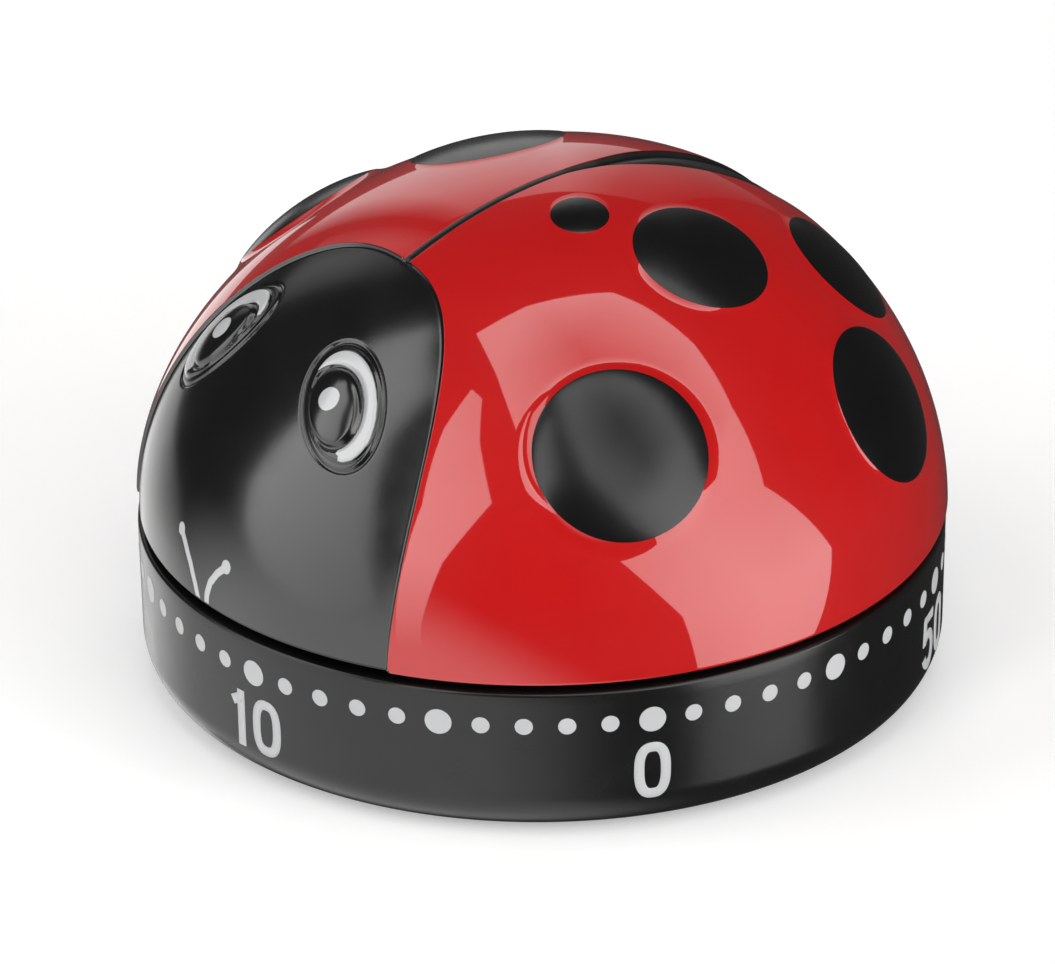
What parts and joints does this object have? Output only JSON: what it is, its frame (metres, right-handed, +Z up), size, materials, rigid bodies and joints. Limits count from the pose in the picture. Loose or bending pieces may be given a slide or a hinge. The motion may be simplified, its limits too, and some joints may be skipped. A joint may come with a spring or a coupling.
{
  "type": "kitchen timer",
  "caption": "Ladybird-shaped mechanical kitchen timer: a red domed top with raised black spots turns on a low black ring with a 60 minute scale.",
  "frame": {"origin": "centre of the bottom face, on the dome's turning axis", "axes": "+Z up along the dome's turning axis, -Y towards the ladybird's head"},
  "size_m": [0.0754, 0.075, 0.0484],
  "materials": {
    "red_gloss": "glossy red lacquer over moulded plastic, with black painted spots, groove and head",
    "black_satin": "satin black paint on the spots, the head and the groove",
    "white_print": "white printed dots, numbers and eye marks",
    "black_ring": "moulded black plastic with a smooth semi-gloss skin",
    "white_plastic": "moulded acetal",
    "plate_steel": "stamped and lightly brushed",
    "arbor_steel": "turned",
    "screw_steel": "zinc plated",
    "spring_steel": "blued strip",
    "bell_steel": "nickel plated",
    "brass": "stamped, with light turning marks"
  },
  "bodies": {
    "base": {"dial_ring": "black_ring", "base_cover": "black_ring", "base_screws": "screw_steel", "lower_plate": "plate_steel", "upper_plate": "plate_steel", "pillars": "brass", "pillar_screws": "screw_steel", "movement_screws": "screw_steel", "bell": "bell_steel", "bell_washer": "brass", "bell_screw": "screw_steel", "arbor_bush": "brass", "mainspring": "spring_steel", "spring_post": "plate_steel", "lever_stud": "plate_steel"},
    "dome": {"dome_shell": "red_gloss", "boss_collar": "plate_steel", "main_arbor": "arbor_steel", "ratchet_wheel": "arbor_steel", "main_wheel": "brass", "trip_cam": "white_plastic", "click_pin": "arbor_steel", "click_spring": "spring_steel"},
    "click": {"click": "arbor_steel"},
    "second_arbor": {"second_pinion": "arbor_steel", "second_wheel": "brass"},
    "third_arbor": {"third_pinion": "arbor_steel", "third_wheel": "brass"},
    "escape_arbor": {"escape_pinion": "arbor_steel", "escape_wheel": "brass"},
    "anchor": {"anchor_arbor": "arbor_steel", "anchor": "brass", "pallet_pins": "arbor_steel", "balance_bar": "brass"},
    "strike_arbor": {"strike_pinion": "arbor_steel", "strike_star": "arbor_steel"},
    "hammer": {"hammer_arbor": "arbor_steel", "hammer_arm": "plate_steel", "hammer_head": "brass", "hammer_tail": "arbor_steel", "hammer_finger": "plate_steel"},
    "trip_lever": {"trip_lever": "plate_steel"}
  },
  "joints": [
    {"name": "dome_turn", "type": "hinge", "parent": "base", "child": "dome", "pos_m": [0, 0, 0.0157], "axis": [0, 0, -1], "range_deg": [-72, 282], "deforming": ["mainspring"]},
    {"name": "click_lift", "type": "hinge", "parent": "dome", "child": "click", "pos_m": [0.00651, 0.00651, 0.0153], "axis": [0, 0, 1], "range_deg": [0, 9], "stiffness_Nm_per_rad": 0.002, "deforming": ["click_spring"]},
    {"name": "second_turn", "type": "hinge", "parent": "base", "child": "second_arbor", "pos_m": [0, 0.0175, 0.018], "axis": [0, 0, -1], "range_deg": [-1692.5, 432.5]},
    {"name": "third_turn", "type": "hinge", "parent": "base", "child": "third_arbor", "pos_m": [-0.01173, 0.01495, 0.018], "axis": [0, 0, -1], "range_deg": [-2160.5, 8460.5]},
    {"name": "escape_turn", "type": "hinge", "parent": "base", "child": "escape_arbor", "pos_m": [-0.01975, 0.00714, 0.018], "axis": [0, 0, -1], "range_deg": [-50760.5, 12960.5]},
    {"name": "strike_turn", "type": "hinge", "parent": "base", "child": "strike_arbor", "pos_m": [-0.0085, -0.01472, 0.018], "axis": [0, 0, -1], "range_deg": [-2115.5, 540.5]},
    {"name": "anchor_rock", "type": "hinge", "parent": "base", "child": "anchor", "pos_m": [-0.0215, 0, 0.018], "axis": [0, 0, 1], "range_deg": [-7, 7]},
    {"name": "hammer_swing", "type": "hinge", "parent": "base", "child": "hammer", "pos_m": [-0.0184, -0.0154, 0.012], "axis": [0, 0, 1], "range_deg": [0, 6]},
    {"name": "trip_lever_swing", "type": "hinge", "parent": "base", "child": "trip_lever", "pos_m": [0.00097, -0.01903, 0.0275], "axis": [0, 0, -1], "range_deg": [-1.66, 5.91]}
  ],
  "couplings": [
    {"joint": "second_turn", "follows": "dome_turn", "ratio": -6},
    {"joint": "third_turn", "follows": "dome_turn", "ratio": 30},
    {"joint": "escape_turn", "follows": "dome_turn", "ratio": -180},
    {"joint": "strike_turn", "follows": "dome_turn", "ratio": -7.5},
    {"joint": "trip_lever_swing", "follows": "dome_turn", "ratio": 0.020232}
  ]
}
